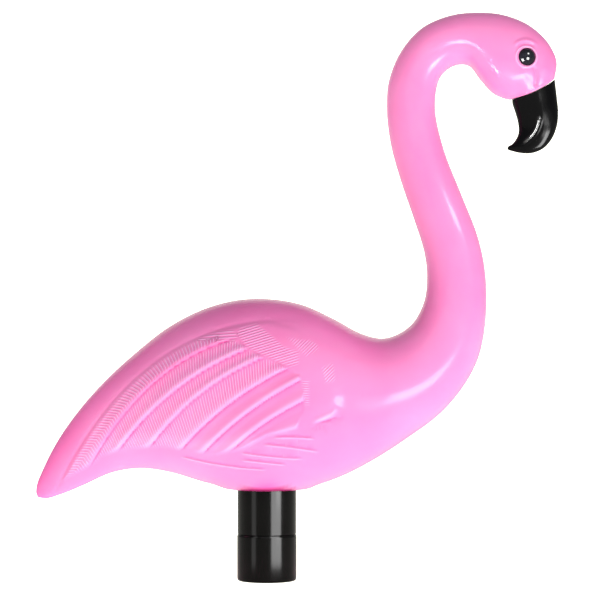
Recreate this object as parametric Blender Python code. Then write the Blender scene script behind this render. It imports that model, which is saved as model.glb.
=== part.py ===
"""A pink flamingo on a black garden-stake socket, in metres, +Z up.

+X runs from the tail to the bill, the XZ plane is the mirror plane and the
origin is the centre of the socket's lower end.
"""

from math import pi

import bmesh
import bpy
import numpy as np
from mathutils import Matrix

for old in list(bpy.data.objects):
    bpy.data.objects.remove(old, do_unlink=True)

# Driving dimensions, in metres
FIGURE_LENGTH = 0.2735  # tail tip to the front of the bill
GAP = 0.0003  # clearance between two pieces
CHAMFER = 0.0008

COLLAR_RADIUS = 0.0154
COLLAR_SHOWING = 0.0217  # the collar's height under the belly
COLLAR_ENTRY = 0.0086  # and inside it
SLEEVE_STEP = 0.0002  # how far the sleeve stands out past the collar
SLEEVE_HEIGHT = 0.0244
SLEEVE_FOOT_ROUND = 0.0016
BORE_RADIUS = 0.0070  # takes the top of the garden stake
BORE_DEPTH = 0.0200
BOSS_WALL = 0.0007  # flat boss of the moulding round the collar
BOSS_FOOT = 0.0015  # height of the boss over the belly's lowest point
EYE_RADIUS = 0.0047
EYE_SUNK = 0.0019  # how far the bead's middle lies inside the head

SLEEVE_RADIUS = COLLAR_RADIUS + SLEEVE_STEP
COLLAR_FOOT = SLEEVE_HEIGHT + GAP
BELLY_HEIGHT = COLLAR_FOOT + COLLAR_SHOWING
COLLAR_TOP = BELLY_HEIGHT + COLLAR_ENTRY

# How fine the grids are, and the shares that the Decimate modifiers keep
FIGURE_STEPS, FIGURE_SIDES, BODY_KEPT = 6, 128, 0.122
BILL_STEPS, BILL_SIDES, BILL_KEPT = 4, 36, 0.42
FIGURE_ROUNDNESS, BILL_ROUNDNESS = 2.2, 2.0  # 2 is an ellipse, more is fuller

# The figure as a ladder in the mirror plane. A row is one rung: the point on
# the back, the point on the belly side and half the width, each in percent of
# the figure's length. x starts at the socket's axis, z at the belly.
FIGURE = [
    (-44.3, 0.1, -43.9, -1.0, 0.4),  # tail point
    (-44.1, 1.5, -42.4, -1.2, 1.0),
    (-42.9, 4.5, -39.5, -0.4, 1.9),
    (-40.3, 9.6, -35.3, 1.3, 3.3),
    (-35.9, 15.9, -29.6, 3.8, 5.3),  # rump
    (-30.9, 21.5, -24.0, 4.6, 7.7),
    (-25.1, 26.8, -18.2, 3.8, 10.2),
    (-18.8, 31.7, -12.1, 2.0, 12.6),
    (-11.9, 35.2, -6.0, 0.6, 14.4),
    (-5.2, 36.9, -0.2, 0.0, 15.3),  # over the socket
    (1.0, 37.0, 5.2, 0.4, 15.4),
    (6.9, 35.9, 10.6, 1.7, 15.0),
    (12.7, 33.3, 15.9, 3.8, 14.1),
    (17.9, 30.5, 22.1, 7.2, 12.6),  # breast
    (21.9, 29.5, 27.4, 10.7, 11.2),
    (25.3, 30.4, 32.8, 14.7, 9.5),
    (28.2, 32.7, 37.2, 19.6, 8.0),  # root of the neck
    (30.2, 36.7, 40.5, 25.6, 6.7),
    (30.7, 41.7, 42.0, 33.4, 5.7),
    (30.1, 46.4, 42.0, 41.1, 5.3),
    (28.1, 52.7, 40.6, 48.6, 5.1),
    (25.7, 59.7, 37.2, 57.4, 5.0),
    (23.8, 66.6, 34.0, 65.6, 4.9),
    (23.0, 73.7, 32.3, 73.5, 4.7),
    (23.5, 79.3, 32.9, 78.7, 4.7),
    (25.8, 84.7, 34.6, 81.0, 4.8),  # nape
    (29.8, 89.1, 36.9, 82.0, 5.0),
    (35.1, 91.4, 39.1, 81.6, 5.3),
    (40.7, 92.0, 41.0, 79.1, 5.6),  # crown
    (45.9, 91.4, 43.3, 76.6, 5.6),
    (50.5, 89.4, 45.3, 75.6, 5.2),
    (54.0, 86.1, 46.4, 75.3, 4.6),
    (55.6, 82.5, 46.8, 75.3, 4.0),
    (55.2, 79.3, 47.0, 75.4, 3.5),  # root of the bill
]
BILL = [
    (55.2, 79.3, 47.0, 75.4, 3.3),
    (55.6, 76.0, 47.1, 74.5, 2.9),
    (55.9, 73.0, 47.7, 72.7, 2.5),
    (55.7, 70.4, 48.2, 70.8, 2.1),
    (54.7, 67.8, 48.3, 69.0, 1.8),
    (53.0, 65.9, 47.8, 67.7, 1.4),
    (50.6, 65.0, 47.1, 66.8, 1.1),
    (48.4, 65.1, 46.4, 66.4, 0.6),
    (46.4, 65.6, 46.1, 66.0, 0.2),
]
MOUTH = ((51.9, 71.8), (51.7, 68.9), (49.0, 67.1))  # root, control and tip
MOUTH_DEPTH = 0.16
MOUTH_HALF_WIDTH = 0.3
ROOT_BOW = 0.6  # how far the bill's root line bows up into the head
BOW_ROWS = 14  # grid rows over which the bow fades
CLEAR_ROWS = 12  # grid rows over which the bill comes off the head by the gap
EYE_AT = (49.4, 83.1)

# The wing in the same shares. Each feather's lower edge runs from its root
# over a control point to its tip, from the top feather down.
WING_TOP = ((0.1, 33.1), (-24.5, 31.0), (-39.3, 2.4))
FEATHERS = [
    ((-7.6, 29.2), (-23.0, 24.0), (-33.4, 5.6)),
    ((-3.4, 27.7), (-17.6, 22.0), (-27.4, 9.2)),
    ((-0.2, 26.2), (-12.3, 21.3), (-21.2, 10.1)),
    ((3.5, 23.8), (-7.2, 18.5), (-15.1, 9.7)),
    ((6.3, 21.8), (-4.0, 16.5), (-11.5, 8.4)),
    ((6.7, 17.9), (-1.2, 13.9), (-6.8, 8.4)),
    ((12.0, 14.4), (3.0, 12.4), (-3.0, 9.2)),
]
WING_FRONT = [(6.3, 31.6), (11.4, 27.5), (14.0, 22.9), (14.7, 19.1), (14.5, 16.5),
              (12.0, 14.7), (8.6, 13.4), (6.5, 12.1), (0.4, 11.3)]
WING_TIPS = [(-4.0, 8.8), (-9.2, 7.6), (-14.4, 7.9), (-19.1, 9.0), (-26.0, 8.4),
             (-30.9, 7.2), (-33.2, 5.0), (-38.7, 2.5), (-41.0, 1.0)]
WING_LIFT = 0.34  # how far the wing stands off the flank
WING_RIM = (-0.2, 0.9)  # the lift grows between these distances from the rim
TOP_GROOVE, TOP_GROOVE_HALF_WIDTH = 0.22, 0.5
LIP = 0.40  # from a feather's trough to its raised lower edge
LIP_FROM, LIP_TO = 0.30, 0.80  # shares of the way down to that edge
LIP_DROP = (-0.05, 0.35)  # and the distances over which it drops there
LIP_MEAN = 0.35  # taken off, so that the feathers keep the flank's height
LIP_FADE = 1.2  # distance from the rim over which the lips grow
FLANK = (0.25, 0.55)  # shares of the half width over which carving fades in

LIGHT_PINK = (0.92, 0.13, 0.47, 1.0)
BLACK = (0.012, 0.012, 0.013, 1.0)


def place(x, z):
    """Percent of the figure's length to metres in the mirror plane."""
    return x * FIGURE_LENGTH / 100, BELLY_HEIGHT + z * FIGURE_LENGTH / 100


def smooth(values, low, high):
    """0 below low, 1 above high and a smooth S between: t*t*(3 - 2t)."""
    t = np.clip((values - low) / (high - low), 0, 1)
    return t * t * (3 - 2 * t)


def through(rows, steps):
    """A cubic Hermite curve through all rows, with steps spans per row."""
    rows = np.array(rows, float)
    spacing = np.linalg.norm(np.diff(rows[:, :4], axis=0), axis=1) ** 0.75
    keys = np.concatenate([[0], np.cumsum(spacing)])
    slopes = np.gradient(rows, keys, axis=0)
    at = np.interp(np.linspace(0, len(keys) - 1, (len(keys) - 1) * steps + 1),
                   np.arange(len(keys)), keys)
    i = np.clip(np.searchsorted(keys, at, "right") - 1, 0, len(keys) - 2)
    span = (keys[i + 1] - keys[i])[:, None]
    t = ((at - keys[i]) / span[:, 0])[:, None]
    return ((1 + 2 * t) * (1 - t) ** 2 * rows[i] + t * (1 - t) ** 2 * span * slopes[i]
            + t * t * (3 - 2 * t) * rows[i + 1] - t * t * (1 - t) * span * slopes[i + 1])


def loft(rows, sides, roundness, bow_first=0.0, bow_last=0.0):
    """Rings of a ladder: middle + up * half rung + across * width.

    up and across run round a superellipse, |up|^n + |across|^n = 1.
    """
    back, front, width = rows[:, 0:2], rows[:, 2:4], rows[:, 4]
    turn = np.linspace(0, 2 * pi, sides, endpoint=False)
    power = 2 / roundness
    up = np.sign(np.cos(turn)) * np.abs(np.cos(turn)) ** power
    across = np.sign(np.sin(turn)) * np.abs(np.sin(turn)) ** power
    middle, half = (back + front) / 2, (back - front) / 2
    # The bow moves a rung's middle square to the rung, over the last rows only
    square = np.stack([-half[:, 1], half[:, 0]], axis=1)
    square /= np.linalg.norm(square, axis=1)[:, None]
    count = np.arange(len(rows))
    bow = (bow_first * (1 - smooth(count, 0, BOW_ROWS))
           + bow_last * (1 - smooth(count[-1] - count, 0, BOW_ROWS)))
    flat = (middle[:, None] + up[None, :, None] * half[:, None]
            + (bow[:, None] * (1 - up ** 2))[:, :, None] * square[:, None])
    x, z = place(flat[:, :, 0], flat[:, :, 1])
    y = across[None] * width[:, None] * FIGURE_LENGTH / 100
    return np.stack([x, y, z], axis=2)


def skin(rings):
    """Faces over rings, with each end closed by strips across the width."""
    count, sides = rings.shape[:2]
    faces = []
    for i in range(count - 1):
        for j in range(sides):
            k = (j + 1) % sides
            faces.append((i * sides + j, i * sides + k,
                          (i + 1) * sides + k, (i + 1) * sides + j))
    for ring, turned in ((0, True), (count - 1, False)):
        for j in range(sides // 2):
            loop = [j, j + 1, (sides - j - 1) % sides, (sides - j) % sides]
            loop = [ring * sides + n for n in dict.fromkeys(loop)]
            faces.append(tuple(loop[::-1]) if turned else tuple(loop))
    return faces


def finish(name, solid, colour=None, roughness=0.3):
    """An object with its normals outward. Without a colour it is a cutter."""
    bmesh.ops.recalc_face_normals(solid, faces=solid.faces)
    if solid.calc_volume(signed=True) < 0:
        bmesh.ops.reverse_faces(solid, faces=solid.faces)
    mesh = bpy.data.meshes.new(name)
    solid.to_mesh(mesh)
    solid.free()
    obj = bpy.data.objects.new(name, mesh)
    bpy.context.scene.collection.objects.link(obj)
    if colour:
        material = bpy.data.materials.new(name)
        material.use_nodes = True
        shader = material.node_tree.nodes["Principled BSDF"]
        shader.inputs["Base Color"].default_value = colour
        shader.inputs["Roughness"].default_value = roughness
        material.diffuse_color = colour
        mesh.materials.append(material)
    else:
        obj.hide_render = True
        obj.display_type = "WIRE"
    return obj


def lofted(name, rings, kept, colour, roughness):
    """The solid round a loft's rings, thinned to a share of its triangles."""
    solid = bmesh.new()
    points = [solid.verts.new(point) for point in rings.reshape(-1, 3)]
    for face in skin(rings):
        solid.faces.new([points[n] for n in face])
    obj = finish(name, solid, colour, roughness)
    thin = obj.modifiers.new("thinned", "DECIMATE")
    thin.ratio = kept
    thin.use_symmetry, thin.symmetry_axis = True, "Y"
    return obj


def lathe(name, profile, sides=36, colour=None, roughness=0.3):
    """Spins (radius, height) points about Z. A radius of 0 closes an end."""
    outline = bmesh.new()
    points = [outline.verts.new((radius, 0, height)) for radius, height in profile]
    edges = [outline.edges.new(pair) for pair in zip(points, points[1:])]
    bmesh.ops.spin(outline, geom=points + edges, cent=(0, 0, 0), axis=(0, 0, 1),
                   dvec=(0, 0, 0), angle=2 * pi, steps=sides, use_merge=True)
    bmesh.ops.remove_doubles(outline, verts=outline.verts, dist=1e-6)
    return finish(name, outline, colour, roughness)


def ball(name, centre, radius, colour=None, roughness=0.3):
    """A sphere with its poles along Y, out of the head's side."""
    bead = bmesh.new()
    place_it = Matrix.Translation(centre) @ Matrix.Rotation(pi / 2, 4, "X")
    bmesh.ops.create_uvsphere(bead, u_segments=16, v_segments=9, radius=radius, matrix=place_it)
    return finish(name, bead, colour, roughness)


def cut(target, cutter, operation="DIFFERENCE"):
    """Takes the cutter from the target, or joins it on with UNION."""
    change = target.modifiers.new(cutter.name, "BOOLEAN")
    change.operation = operation
    change.object = cutter
    change.solver = "EXACT"


def along(bezier, count=40, beyond=6.0):
    """Points on a quadratic Bezier, carried on straight past both its ends."""
    root, control, tip = (np.array(p, float) for p in bezier)
    t = np.linspace(0, 1, count)[:, None]
    curve = (1 - t) ** 2 * root + 2 * t * (1 - t) * control + t * t * tip
    first, last = root - control, tip - control
    first, last = first / np.linalg.norm(first), last / np.linalg.norm(last)
    return np.concatenate([[root + beyond * first], curve, [tip + beyond * last]])


def distance(points, line, closed=False):
    """Signed distance to a line of points, positive on its left side.

    For each span a to b it takes the nearest point a + t(b - a), 0 <= t <= 1.
    """
    line = np.array(line, float)
    a, b = line, np.roll(line, -1, axis=0)
    if not closed:
        a, b = a[:-1], b[:-1]
    best = np.full(len(points), np.inf)
    side = np.ones(len(points))
    for p, q in zip(a, b):
        way, off = q - p, points - p
        t = np.clip(off @ way / (way @ way), 0, 1)
        apart = off - t[:, None] * way
        far = (apart ** 2).sum(axis=1)
        near = far < best - 1e-12
        best[near] = far[near]
        side[near] = np.sign(way[0] * off[near, 1] - way[1] * off[near, 0] + 1e-15)
    return np.sqrt(best) * side


def inside(points, outline):
    """Signed distance to a closed outline, positive inside it."""
    x, z = points.T
    hits = np.zeros(len(points), bool)
    for (x1, z1), (x2, z2) in zip(outline, outline[1:] + outline[:1]):
        crosses = (z1 > z) != (z2 > z)
        if z1 != z2:
            hits ^= crosses & (x < x1 + (z - z1) * (x2 - x1) / (z2 - z1))
    return np.abs(distance(points, outline, closed=True)) * np.where(hits, 1, -1)


def wing_relief(x, z):
    """Height of the wing over the flank, in percent of the figure's length.

    Between one feather's lower edge and the next, v runs from 0 to 1 and the
    height goes from a trough to a rounded lip, then steps down at the edge.
    """
    points = np.stack([x, z], axis=1)
    top = along(WING_TOP)
    held = inside(points, WING_FRONT + WING_TIPS + top[-2:0:-1].tolist())
    upper = distance(points, top)
    groove = TOP_GROOVE * np.exp(-(upper / TOP_GROOVE_HALF_WIDTH) ** 2)
    height = WING_LIFT * smooth(held, *WING_RIM) - groove
    for feather in FEATHERS:
        lower = distance(points, along(feather))
        band = (upper > 0) & (lower <= 0)
        v = upper / np.maximum(upper - lower, 1e-6)
        saw = smooth(v, LIP_FROM, LIP_TO) * smooth(-lower, *LIP_DROP)
        height += np.where(band, LIP * (saw - LIP_MEAN), 0) * smooth(held, 0.0, LIP_FADE)
        upper = lower
    return height


def shares(points):
    """x and z of points in metres, in percent of the figure's length."""
    return points[:, 0] * 100 / FIGURE_LENGTH, (points[:, 2] - BELLY_HEIGHT) * 100 / FIGURE_LENGTH


def move_sides(rings, rows, change):
    """Moves each flank out by change(x, z) percent, fading towards the ridge."""
    flat = rings.reshape(-1, 3)
    width = np.repeat(rows[:, 4], rings.shape[1]) * FIGURE_LENGTH / 100
    on_side = smooth(np.abs(flat[:, 1]) / width, *FLANK)
    flat[:, 1] += np.sign(flat[:, 1]) * change(*shares(flat)) * on_side * FIGURE_LENGTH / 100
    return flat.reshape(rings.shape)


def mouth_groove(x, z):
    """A rounded groove along the mouth: -depth * exp(-(distance / half width)^2)."""
    apart = distance(np.stack([x, z], axis=1), along(MOUTH, beyond=0.01))
    return -MOUTH_DEPTH * np.exp(-(apart / MOUTH_HALF_WIDTH) ** 2)


def figure():
    """The rings of tail, body, neck and head, with the wings carved in."""
    rows = through(FIGURE, FIGURE_STEPS)
    rings = loft(rows, FIGURE_SIDES, FIGURE_ROUNDNESS, bow_last=-ROOT_BOW)
    return move_sides(rings, rows, wing_relief)


def bill():
    """The bill's rings, with its root moved off the head by the gap."""
    rows = through(BILL, BILL_STEPS)
    rings = loft(rows, BILL_SIDES, BILL_ROUNDNESS, bow_first=-ROOT_BOW)
    rings = move_sides(rings, rows, mouth_groove)
    rung = rings[0, 0] - rings[0, rings.shape[1] // 2]
    off_head = np.array([rung[2], 0, -rung[0]]) / np.linalg.norm(rung)
    fade = 1 - smooth(np.arange(len(rows)), 0, CLEAR_ROWS)
    return rings + GAP * fade[:, None, None] * off_head


def eye_centre(rings, side):
    """The head's surface at the eye, less the depth that the bead is sunk."""
    x, z = place(*EYE_AT)
    half = rings[:, 1:rings.shape[1] // 2].reshape(-1, 3)
    nearest = half[((half[:, [0, 2]] - (x, z)) ** 2).sum(axis=1).argmin()]
    return x, side * (abs(nearest[1]) - EYE_SUNK), z


figure_rings = figure()
body = lofted("flamingo_body", figure_rings, BODY_KEPT, LIGHT_PINK, 0.2)
boss_radius, boss_foot = COLLAR_RADIUS + GAP + BOSS_WALL, BELLY_HEIGHT + BOSS_FOOT
boss_top = COLLAR_TOP + 2 * COLLAR_ENTRY
cut(body, lathe("boss", [(0, boss_foot), (boss_radius, boss_foot),
                         (boss_radius, boss_top), (0, boss_top)]), "UNION")
pocket_radius, pocket_top = COLLAR_RADIUS + GAP, COLLAR_TOP + GAP
cut(body, lathe("pocket", [(0, COLLAR_FOOT), (pocket_radius, COLLAR_FOOT),
                           (pocket_radius, pocket_top), (0, pocket_top)]))
for name, side in (("eye_left", 1), ("eye_right", -1)):
    centre = eye_centre(figure_rings, side)
    cut(body, ball(name + "_seat", centre, EYE_RADIUS + GAP))
    ball(name, centre, EYE_RADIUS, BLACK, 0.1)

lofted("bill", bill(), BILL_KEPT, BLACK, 0.15)

lathe("socket_collar", [
    (0, COLLAR_TOP), (COLLAR_RADIUS - CHAMFER, COLLAR_TOP),
    (COLLAR_RADIUS, COLLAR_TOP - CHAMFER), (COLLAR_RADIUS, COLLAR_FOOT + CHAMFER / 2),
    (COLLAR_RADIUS - CHAMFER / 2, COLLAR_FOOT), (0, COLLAR_FOOT)], 40, BLACK, 0.35)

foot = [(SLEEVE_RADIUS - SLEEVE_FOOT_ROUND * (1 - np.cos(a)),
         SLEEVE_FOOT_ROUND * (1 - np.sin(a))) for a in np.linspace(0, pi / 2, 4)]
lathe("stake_sleeve", [
    (0, SLEEVE_HEIGHT), (SLEEVE_RADIUS - CHAMFER, SLEEVE_HEIGHT),
    (SLEEVE_RADIUS, SLEEVE_HEIGHT - CHAMFER)] + foot + [
    (BORE_RADIUS + CHAMFER, 0), (BORE_RADIUS, CHAMFER), (BORE_RADIUS, BORE_DEPTH),
    (0, BORE_DEPTH)], 40, BLACK, 0.35)
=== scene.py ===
from math import cos, pi, radians, sin, tan

import bmesh
import bpy
import numpy as np
from mathutils import Matrix, Vector


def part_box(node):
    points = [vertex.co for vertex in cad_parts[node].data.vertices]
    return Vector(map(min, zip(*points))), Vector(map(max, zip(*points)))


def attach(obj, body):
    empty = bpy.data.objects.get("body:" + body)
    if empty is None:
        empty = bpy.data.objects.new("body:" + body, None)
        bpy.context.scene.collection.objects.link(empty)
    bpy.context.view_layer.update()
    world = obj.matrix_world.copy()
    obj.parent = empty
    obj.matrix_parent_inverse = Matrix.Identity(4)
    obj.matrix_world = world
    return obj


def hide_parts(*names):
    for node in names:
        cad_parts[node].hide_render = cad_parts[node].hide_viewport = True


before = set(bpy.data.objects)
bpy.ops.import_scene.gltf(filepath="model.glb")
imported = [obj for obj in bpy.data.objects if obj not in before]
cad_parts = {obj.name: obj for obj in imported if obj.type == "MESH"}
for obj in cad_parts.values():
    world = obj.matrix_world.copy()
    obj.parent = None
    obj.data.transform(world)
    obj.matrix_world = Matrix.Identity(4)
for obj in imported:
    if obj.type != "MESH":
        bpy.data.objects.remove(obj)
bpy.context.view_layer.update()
print("pieces in the frame:", ", ".join(sorted(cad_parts)))

# %% [markdown]
# The frame holds the solid pieces at their real size, in metres. The camera
# comes first, so that every later piece can be judged in its picture. The
# photograph was taken level and from far off, so a long lens is used, with its
# distance worked out from the lens and from how wide the picture is at the
# figure's middle plane.

# %% The camera
PICTURE_SIDE = 600
PIXEL = 0.000525  # metres of the middle plane in one pixel of the picture
LENS_MM, SENSOR_MM = 156.0, 36.0
AIM = Vector((0.0174, 0.0, 0.1472))

picture_width = PICTURE_SIDE * PIXEL
camera_distance = LENS_MM / SENSOR_MM * picture_width
camera_data = bpy.data.cameras.new("camera")
camera_data.lens, camera_data.sensor_width = LENS_MM, SENSOR_MM
camera_data.clip_end = 20.0
camera = bpy.data.objects.new("camera", camera_data)
camera.location = AIM - Vector((0, camera_distance, 0))
camera.rotation_euler = (pi / 2, 0, 0)
bpy.context.scene.collection.objects.link(camera)
bpy.context.scene.camera = camera
print(f"camera {camera_distance:.3f} m from the figure's middle plane")

# %% [markdown]
# The body, neck and head are one moulding. Its side view is a ladder: each rung
# goes from a point on the back to a point on the belly side and carries half
# the width there. A smooth curve through all the rungs gives a long grid of
# rings. A ladder follows an S-shaped neck better than a straight axis does,
# because the rungs can turn with the bend.
#
# The rungs are in percent of the figure's length. x starts at the socket's
# axis and z at the lowest point of the belly.

# %% The ladder of the figure
FIGURE = [
    (-44.3, 0.1, -43.9, -1.0, 0.4),  # tail point
    (-44.1, 1.5, -42.4, -1.2, 1.0),
    (-42.9, 4.5, -39.5, -0.4, 1.9),
    (-40.3, 9.6, -35.3, 1.3, 3.3),
    (-35.9, 15.9, -29.6, 3.8, 5.3),  # rump
    (-30.9, 21.5, -24.0, 4.6, 7.7),
    (-25.1, 26.8, -18.2, 3.8, 10.2),
    (-18.8, 31.7, -12.1, 2.0, 12.6),
    (-11.9, 35.2, -6.0, 0.6, 14.4),
    (-5.2, 36.9, -0.2, 0.0, 15.3),  # over the socket
    (1.0, 37.0, 5.2, 0.4, 15.4),
    (6.9, 35.9, 10.6, 1.7, 15.0),
    (12.7, 33.3, 15.9, 3.8, 14.1),
    (17.9, 30.5, 22.1, 7.2, 12.6),  # breast
    (21.9, 29.5, 27.4, 10.7, 11.2),
    (25.3, 30.4, 32.8, 14.7, 9.5),
    (28.2, 32.7, 37.2, 19.6, 8.0),  # root of the neck
    (30.2, 36.7, 40.5, 25.6, 6.7),
    (30.7, 41.7, 42.0, 33.4, 5.7),
    (30.1, 46.4, 42.0, 41.1, 5.3),
    (28.1, 52.7, 40.6, 48.6, 5.1),
    (25.7, 59.7, 37.2, 57.4, 5.0),
    (23.8, 66.6, 34.0, 65.6, 4.9),
    (23.0, 73.7, 32.3, 73.5, 4.7),
    (23.5, 79.3, 32.9, 78.7, 4.7),
    (25.8, 84.7, 34.6, 81.0, 4.8),  # nape
    (29.8, 89.1, 36.9, 82.0, 5.0),
    (35.1, 91.4, 39.1, 81.6, 5.3),
    (40.7, 92.0, 41.0, 79.1, 5.6),  # crown
    (45.9, 91.4, 43.3, 76.6, 5.6),
    (50.5, 89.4, 45.3, 75.6, 5.2),
    (54.0, 86.1, 46.4, 75.3, 4.6),
    (55.6, 82.5, 46.8, 75.3, 4.0),
    (55.2, 79.3, 47.0, 75.4, 3.5),  # root of the bill
]
ROOT_BOW = 0.6  # how far the bill's root line bows up into the head
ROOT_BOW_RUNGS = 14 / 6
BODY_ROUNDNESS = 2.2
EVENING = 0.75  # power that evens out the long and the short steps between rungs


def smooth(values, low, high):
    """0 below low, 1 above high and t*t*(3 - 2t) between."""
    t = np.clip((values - low) / (high - low), 0, 1)
    return t * t * (3 - 2 * t)


def bell(distance, half_width):
    """A soft rise round distance 0: exp(-(distance / half width)^2)."""
    return np.exp(-(distance / half_width) ** 2)


def ladder(table, count):
    """Rows of a ladder at any row counts, by a cubic Hermite curve.

    p(t) = (1+2t)(1-t)^2 p0 + t(1-t)^2 m0 + t^2(3-2t) p1 - t^2(1-t) m1, with
    the slopes m taken from the neighbouring rows.
    """
    table = np.array(table, float)
    spacing = np.linalg.norm(np.diff(table[:, :4], axis=0), axis=1) ** EVENING
    keys = np.concatenate([[0], np.cumsum(spacing)])
    slopes = np.gradient(table, keys, axis=0)
    i = np.minimum(count.astype(int), len(table) - 2)
    t = (count - i)[:, None]
    span = (keys[i + 1] - keys[i])[:, None]
    return ((1 + 2 * t) * (1 - t) ** 2 * table[i] + t * (1 - t) ** 2 * span * slopes[i]
            + t * t * (3 - 2 * t) * table[i + 1] - t * t * (1 - t) * span * slopes[i + 1])


def on_ladder(table, count, turn, roundness, bow):
    """Points at a row count and an angle: middle + up * half rung + across * width.

    up and across run round a superellipse, |up|^n + |across|^n = 1. The middle
    of a rung also moves square to it, by bow * (1 - up^2).
    """
    rows = ladder(table, count)
    back, front, width = rows[:, 0:2], rows[:, 2:4], rows[:, 4]
    power = 2 / roundness
    up = np.sign(np.cos(turn)) * np.abs(np.cos(turn)) ** power
    across = np.sign(np.sin(turn)) * np.abs(np.sin(turn)) ** power
    middle, half = (back + front) / 2, (back - front) / 2
    square = np.stack([-half[:, 1], half[:, 0]], axis=1)
    square /= np.linalg.norm(square, axis=1)[:, None]
    flat = middle + up[:, None] * half + (bow * (1 - up ** 2))[:, None] * square
    return np.stack([flat[:, 0], across * width, flat[:, 1]], axis=1), rows


def on_figure(count, turn):
    """Points of the figure; its rungs bow up towards the bill, by ROOT_BOW at the root."""
    bow = -ROOT_BOW * (1 - smooth(len(FIGURE) - 1 - count, 0, ROOT_BOW_RUNGS))
    return on_ladder(FIGURE, count, turn, BODY_ROUNDNESS, bow)


print(len(FIGURE), "rungs from tail to bill")

# %% [markdown]
# The frame says how large the figure really is: the width in x of the packed
# body gives the length that the shares are a share of, and its top gives the
# height of the belly.

# %% Size and place from the frame
OUTLINE_SAMPLES = 600

outline_count = np.linspace(0, len(FIGURE) - 1, OUTLINE_SAMPLES)
outline_rows = ladder(FIGURE, outline_count)
share_x, share_z = outline_rows[:, [0, 2]], outline_rows[:, [1, 3]]
body_low, body_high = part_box("flamingo_body")
LENGTH = (body_high.x - body_low.x) / (share_x.max() - share_x.min()) * 100
BELLY = body_high.z - share_z.max() * LENGTH / 100
SHARE = LENGTH / 100  # one percent of the figure's length, in metres
MM = 0.001 / SHARE  # one millimetre, in percent


def in_metres(points):
    """Percent times the size of one percent, raised by the height of the belly."""
    return points * SHARE + np.array([0, 0, BELLY])


print(f"figure {LENGTH * 1000:.1f} mm long, belly {BELLY * 1000:.1f} mm up")

# %% [markdown]
# The wing is carved in low relief. Each long feather is a shingle: it rises
# from a trough to a rounded lip and drops at its lower edge onto the next
# feather. The edges are drawn as quadratic Bezier curves in the side view, and
# a point's height follows from its distances to the edge above and below it.
# Carving it as a height keeps the moulding in one piece, as the real one is.

# %% Lines of the wing
WING_TOP = ((0.1, 33.1), (-24.5, 31.0), (-39.3, 2.4))
FEATHERS = [
    ((-7.6, 29.2), (-23.0, 24.0), (-33.4, 5.6)),
    ((-3.4, 27.7), (-17.6, 22.0), (-27.4, 9.2)),
    ((-0.2, 26.2), (-12.3, 21.3), (-21.2, 10.1)),
    ((3.5, 23.8), (-7.2, 18.5), (-15.1, 9.7)),
    ((6.3, 21.8), (-4.0, 16.5), (-11.5, 8.4)),
    ((6.7, 17.9), (-1.2, 13.9), (-6.8, 8.4)),
    ((12.0, 14.4), (3.0, 12.4), (-3.0, 9.2)),
]
SHAFT = ((-13.0, 28.0), (-24.5, 22.3), (-36.6, 4.2))  # of the first feather
WING_FRONT = [(6.3, 31.6), (11.4, 27.5), (14.0, 22.9), (14.7, 19.1), (14.5, 16.5),
              (12.0, 14.7), (8.6, 13.4), (6.5, 12.1), (0.4, 11.3)]
WING_TIPS = [(-4.0, 8.8), (-9.2, 7.6), (-14.4, 7.9), (-19.1, 9.0), (-26.0, 8.4),
             (-30.9, 7.2), (-33.2, 5.0), (-38.7, 2.5), (-41.0, 1.0)]
# Where the long feathers come out from under the small ones
COVERT_EDGE = [(-9.0, 34.0), (-8.6, 30.0), (-5.2, 28.9), (-3.2, 27.4), (0.6, 25.6),
               (3.9, 24.2), (6.2, 22.8), (7.1, 20.0), (7.0, 16.5), (5.6, 12.6), (4.6, 8.0)]
BELLY_LINES = [
    ((1.1, 11.1), (5.5, 11.3), (9.5, 10.8)),
    ((-0.8, 9.8), (5.0, 9.3), (10.1, 8.3)),
    ((-4.9, 8.2), (1.0, 7.2), (7.1, 7.0)),
    ((-4.9, 6.8), (-0.4, 6.3), (4.1, 5.8)),
    ((-16.3, 7.3), (-8.0, 5.2), (0.3, 4.9)),
]
print(len(FEATHERS), "long feathers and", len(BELLY_LINES), "lines on the belly")

# %% [markdown]
# Carving along a drawn line needs three measures of every point of the surface:
# how far it is from the line and on which side, how far along the line it lies,
# and whether it is inside a closed outline. Working them out for all points at
# once keeps the script quick, and the same three serve the wing, the face and
# the bill.

# %% Curves and distances
LINE_FADE = 1.6  # length over which a thin line rises at each end
BEYOND, HARDLY = 6.0, 0.01  # how far a curve is carried on straight past its ends


def bezier(curve, count=40, beyond=BEYOND):
    """(1-t)^2 root + 2t(1-t) control + t^2 tip, carried on straight past both ends."""
    root, control, tip = (np.array(p, float) for p in curve)
    t = np.linspace(0, 1, count)[:, None]
    line = (1 - t) ** 2 * root + 2 * t * (1 - t) * control + t * t * tip
    first, last = root - control, tip - control
    first, last = first / np.linalg.norm(first), last / np.linalg.norm(last)
    return np.concatenate([[root + beyond * first], line, [tip + beyond * last]])


def stroke(curve):
    """A curve that hardly goes past its own ends."""
    return bezier(curve, beyond=HARDLY)


def nearest(points, line, closed=False):
    """Signed distance to a line of points, left side positive, and the run along it.

    For each span a to b the nearest point is a + t(b - a) with 0 <= t <= 1.
    """
    line = np.array(line, float)
    ends = np.roll(line, -1, axis=0) if closed else line[1:]
    best = np.full(len(points), np.inf)
    side, run = np.ones(len(points)), np.zeros(len(points))
    walked = 0.0
    for a, b in zip(line, ends):
        way, off = b - a, points - a
        long = np.hypot(*way)
        t = np.clip(off @ way / long ** 2, 0, 1)
        apart = off - t[:, None] * way
        far = (apart ** 2).sum(axis=1)
        near = far < best - 1e-12
        best[near] = far[near]
        side[near] = np.where(way[0] * off[near, 1] - way[1] * off[near, 0] >= 0, 1, -1)
        run[near] = walked + t[near] * long
        walked += long
    return np.sqrt(best) * side, run


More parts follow.
